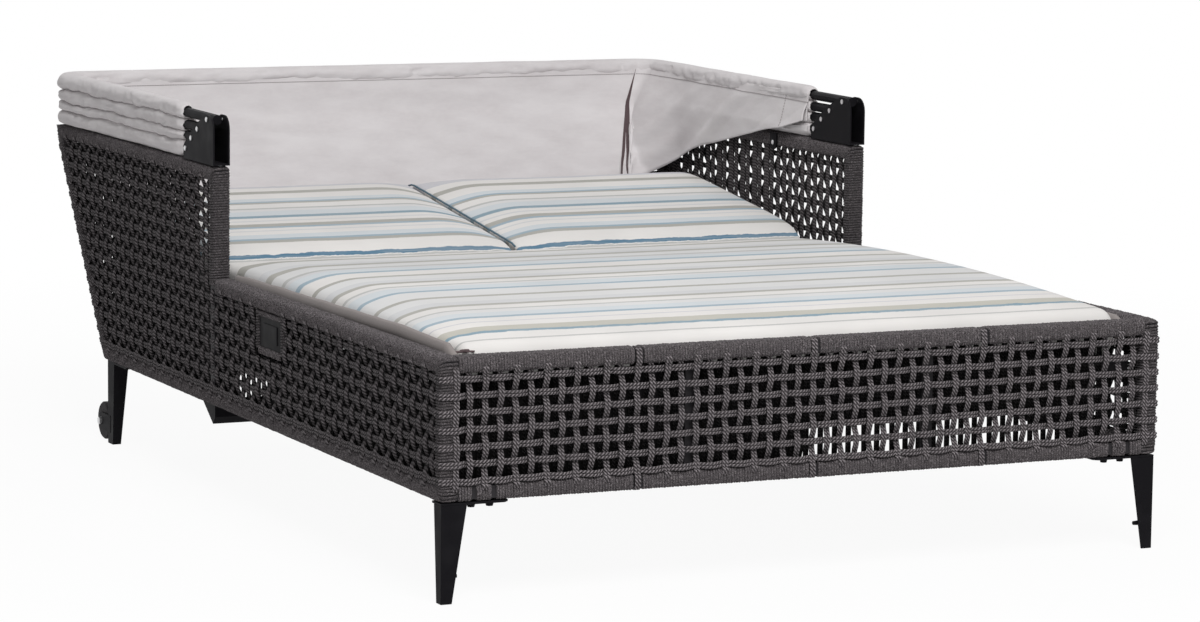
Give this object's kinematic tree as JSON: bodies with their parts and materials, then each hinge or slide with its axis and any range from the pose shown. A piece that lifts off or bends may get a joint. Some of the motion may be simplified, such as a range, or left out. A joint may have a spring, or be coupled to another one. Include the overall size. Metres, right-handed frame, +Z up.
{
  "type": "outdoor daybed",
  "caption": "Rope-woven garden daybed with a leaning back, arms, lifting backrests, striped cushions, head-end wheels and a fold-down cloth canopy on bows",
  "frame": {"origin": "on the ground under the middle of the daybed's box", "axes": "+Y towards the head end, +X to the right seen from the foot end, +Z up"},
  "size_m": [1.3706, 2.075, 0.7221],
  "materials": {
    "frame_tube": "satin dark grey powder coat",
    "rope": "matt charcoal braided rope",
    "black_metal": "satin black powder coat",
    "bright_steel": "brushed stainless",
    "wheel_tyre": "matt dark grey",
    "black_plastic": "satin moulded",
    "striped_cloth": "woven cream, grey and blue stripes",
    "canopy_cloth": "matt light warm grey canvas"
  },
  "bodies": {
    "root": {"side_lower_frame_left": "frame_tube", "side_rear_rail_left": "frame_tube", "arm_post_left": "frame_tube", "arm_rail_left": "frame_tube", "back_post_left": "frame_tube", "side_lower_frame_right": "frame_tube", "side_rear_rail_right": "frame_tube", "arm_post_right": "frame_tube", "arm_rail_right": "frame_tube", "back_post_right": "frame_tube", "foot_frame": "frame_tube", "rear_lower_frame": "frame_tube", "rear_top_rail": "frame_tube", "rope_foot": "rope", "rope_rear": "rope", "rope_side_low_left": "rope", "rope_side_arm_left": "rope", "rope_side_low_right": "rope", "rope_side_arm_right": "rope", "side_cover_plate": "black_plastic", "leg_front_left": "black_metal", "leg_rear_left": "black_metal", "wheel_axle_left": "bright_steel", "leg_front_right": "black_metal", "leg_rear_right": "black_metal", "wheel_axle_right": "bright_steel", "centre_cross_beam": "black_metal", "seat_deck": "frame_tube", "hinge_rod_left": "bright_steel", "prop_rack_left": "frame_tube", "hinge_rod_right": "bright_steel", "prop_rack_right": "frame_tube", "prop_rack_centre": "frame_tube", "seat_cushion": "striped_cloth", "canopy_bracket_left": "black_metal", "bow_rivet_left_1": "bright_steel", "bow_rivet_left_2": "bright_steel", "bow_rivet_left_3": "bright_steel", "bow_rivet_left_4": "bright_steel", "canopy_bracket_right": "black_metal", "bow_rivet_right_1": "bright_steel", "bow_rivet_right_2": "bright_steel", "bow_rivet_right_3": "bright_steel", "bow_rivet_right_4": "bright_steel"},
    "wheel_left": {"wheel_left": "wheel_tyre"},
    "wheel_right": {"wheel_right": "wheel_tyre"},
    "backrest_left": {"backrest_frame_left": "frame_tube", "back_cushion_left": "striped_cloth"},
    "prop_left": {"prop_bail_left": "bright_steel"},
    "backrest_right": {"backrest_frame_right": "frame_tube", "back_cushion_right": "striped_cloth"},
    "prop_right": {"prop_bail_right": "bright_steel"},
    "bow_1": {"canopy_bow_1": "black_metal", "canopy_cloth_1": "canopy_cloth"},
    "bow_2": {"canopy_bow_2": "black_metal", "canopy_cloth_2": "canopy_cloth"},
    "bow_3": {"canopy_bow_3": "black_metal", "canopy_cloth_3": "canopy_cloth"},
    "bow_4": {"canopy_bow_4": "black_metal", "canopy_cloth_4": "canopy_cloth"}
  },
  "joints": [
    {"name": "canopy_fold", "type": "hinge", "parent": "root", "child": "bow_4", "pos_m": [0, 0.097, 0.702], "axis": [1, 0, 0], "range_deg": [0, 105]},
    {"name": "canopy_bow_3_fold", "type": "hinge", "parent": "root", "child": "bow_3", "pos_m": [0, 0.15, 0.68], "axis": [1, 0, 0], "range_deg": [0, 71.9]},
    {"name": "canopy_bow_2_fold", "type": "hinge", "parent": "root", "child": "bow_2", "pos_m": [0, 0.185, 0.66], "axis": [1, 0, 0], "range_deg": [0, 42.5]},
    {"name": "canopy_bow_1_fold", "type": "hinge", "parent": "root", "child": "bow_1", "pos_m": [0, 0.217, 0.638], "axis": [1, 0, 0], "range_deg": [0, 15.2]},
    {"name": "backrest_left_lift", "type": "hinge", "parent": "root", "child": "backrest_left", "pos_m": [0, 0.27, 0.325], "axis": [1, 0, 0], "range_deg": [0, 45]},
    {"name": "prop_left_swing", "type": "hinge", "parent": "backrest_left", "child": "prop_left", "pos_m": [0, 0.51639, 0.35613], "axis": [1, 0, 0], "range_deg": [-90.5, 0]},
    {"name": "backrest_right_lift", "type": "hinge", "parent": "root", "child": "backrest_right", "pos_m": [0, 0.27, 0.325], "axis": [1, 0, 0], "range_deg": [0, 45]},
    {"name": "prop_right_swing", "type": "hinge", "parent": "backrest_right", "child": "prop_right", "pos_m": [0, 0.51639, 0.35613], "axis": [1, 0, 0], "range_deg": [-90.5, 0]},
    {"name": "wheel_left_spin", "type": "hinge", "parent": "root", "child": "wheel_left", "pos_m": [-0.667, 0.7495, 0.039], "axis": [1, 0, 0], "continuous": true},
    {"name": "wheel_right_spin", "type": "hinge", "parent": "root", "child": "wheel_right", "pos_m": [0.667, 0.7495, 0.039], "axis": [1, 0, 0], "continuous": true}
  ],
  "couplings": [
    {"joint": "canopy_bow_3_fold", "follows": "canopy_fold", "ratio": 0.68},
    {"joint": "canopy_bow_2_fold", "follows": "canopy_fold", "ratio": 0.4},
    {"joint": "canopy_bow_1_fold", "follows": "canopy_fold", "ratio": 0.14},
    {"joint": "prop_left_swing", "follows": "backrest_left_lift", "ratio": -2},
    {"joint": "prop_right_swing", "follows": "backrest_right_lift", "ratio": -2}
  ]
}
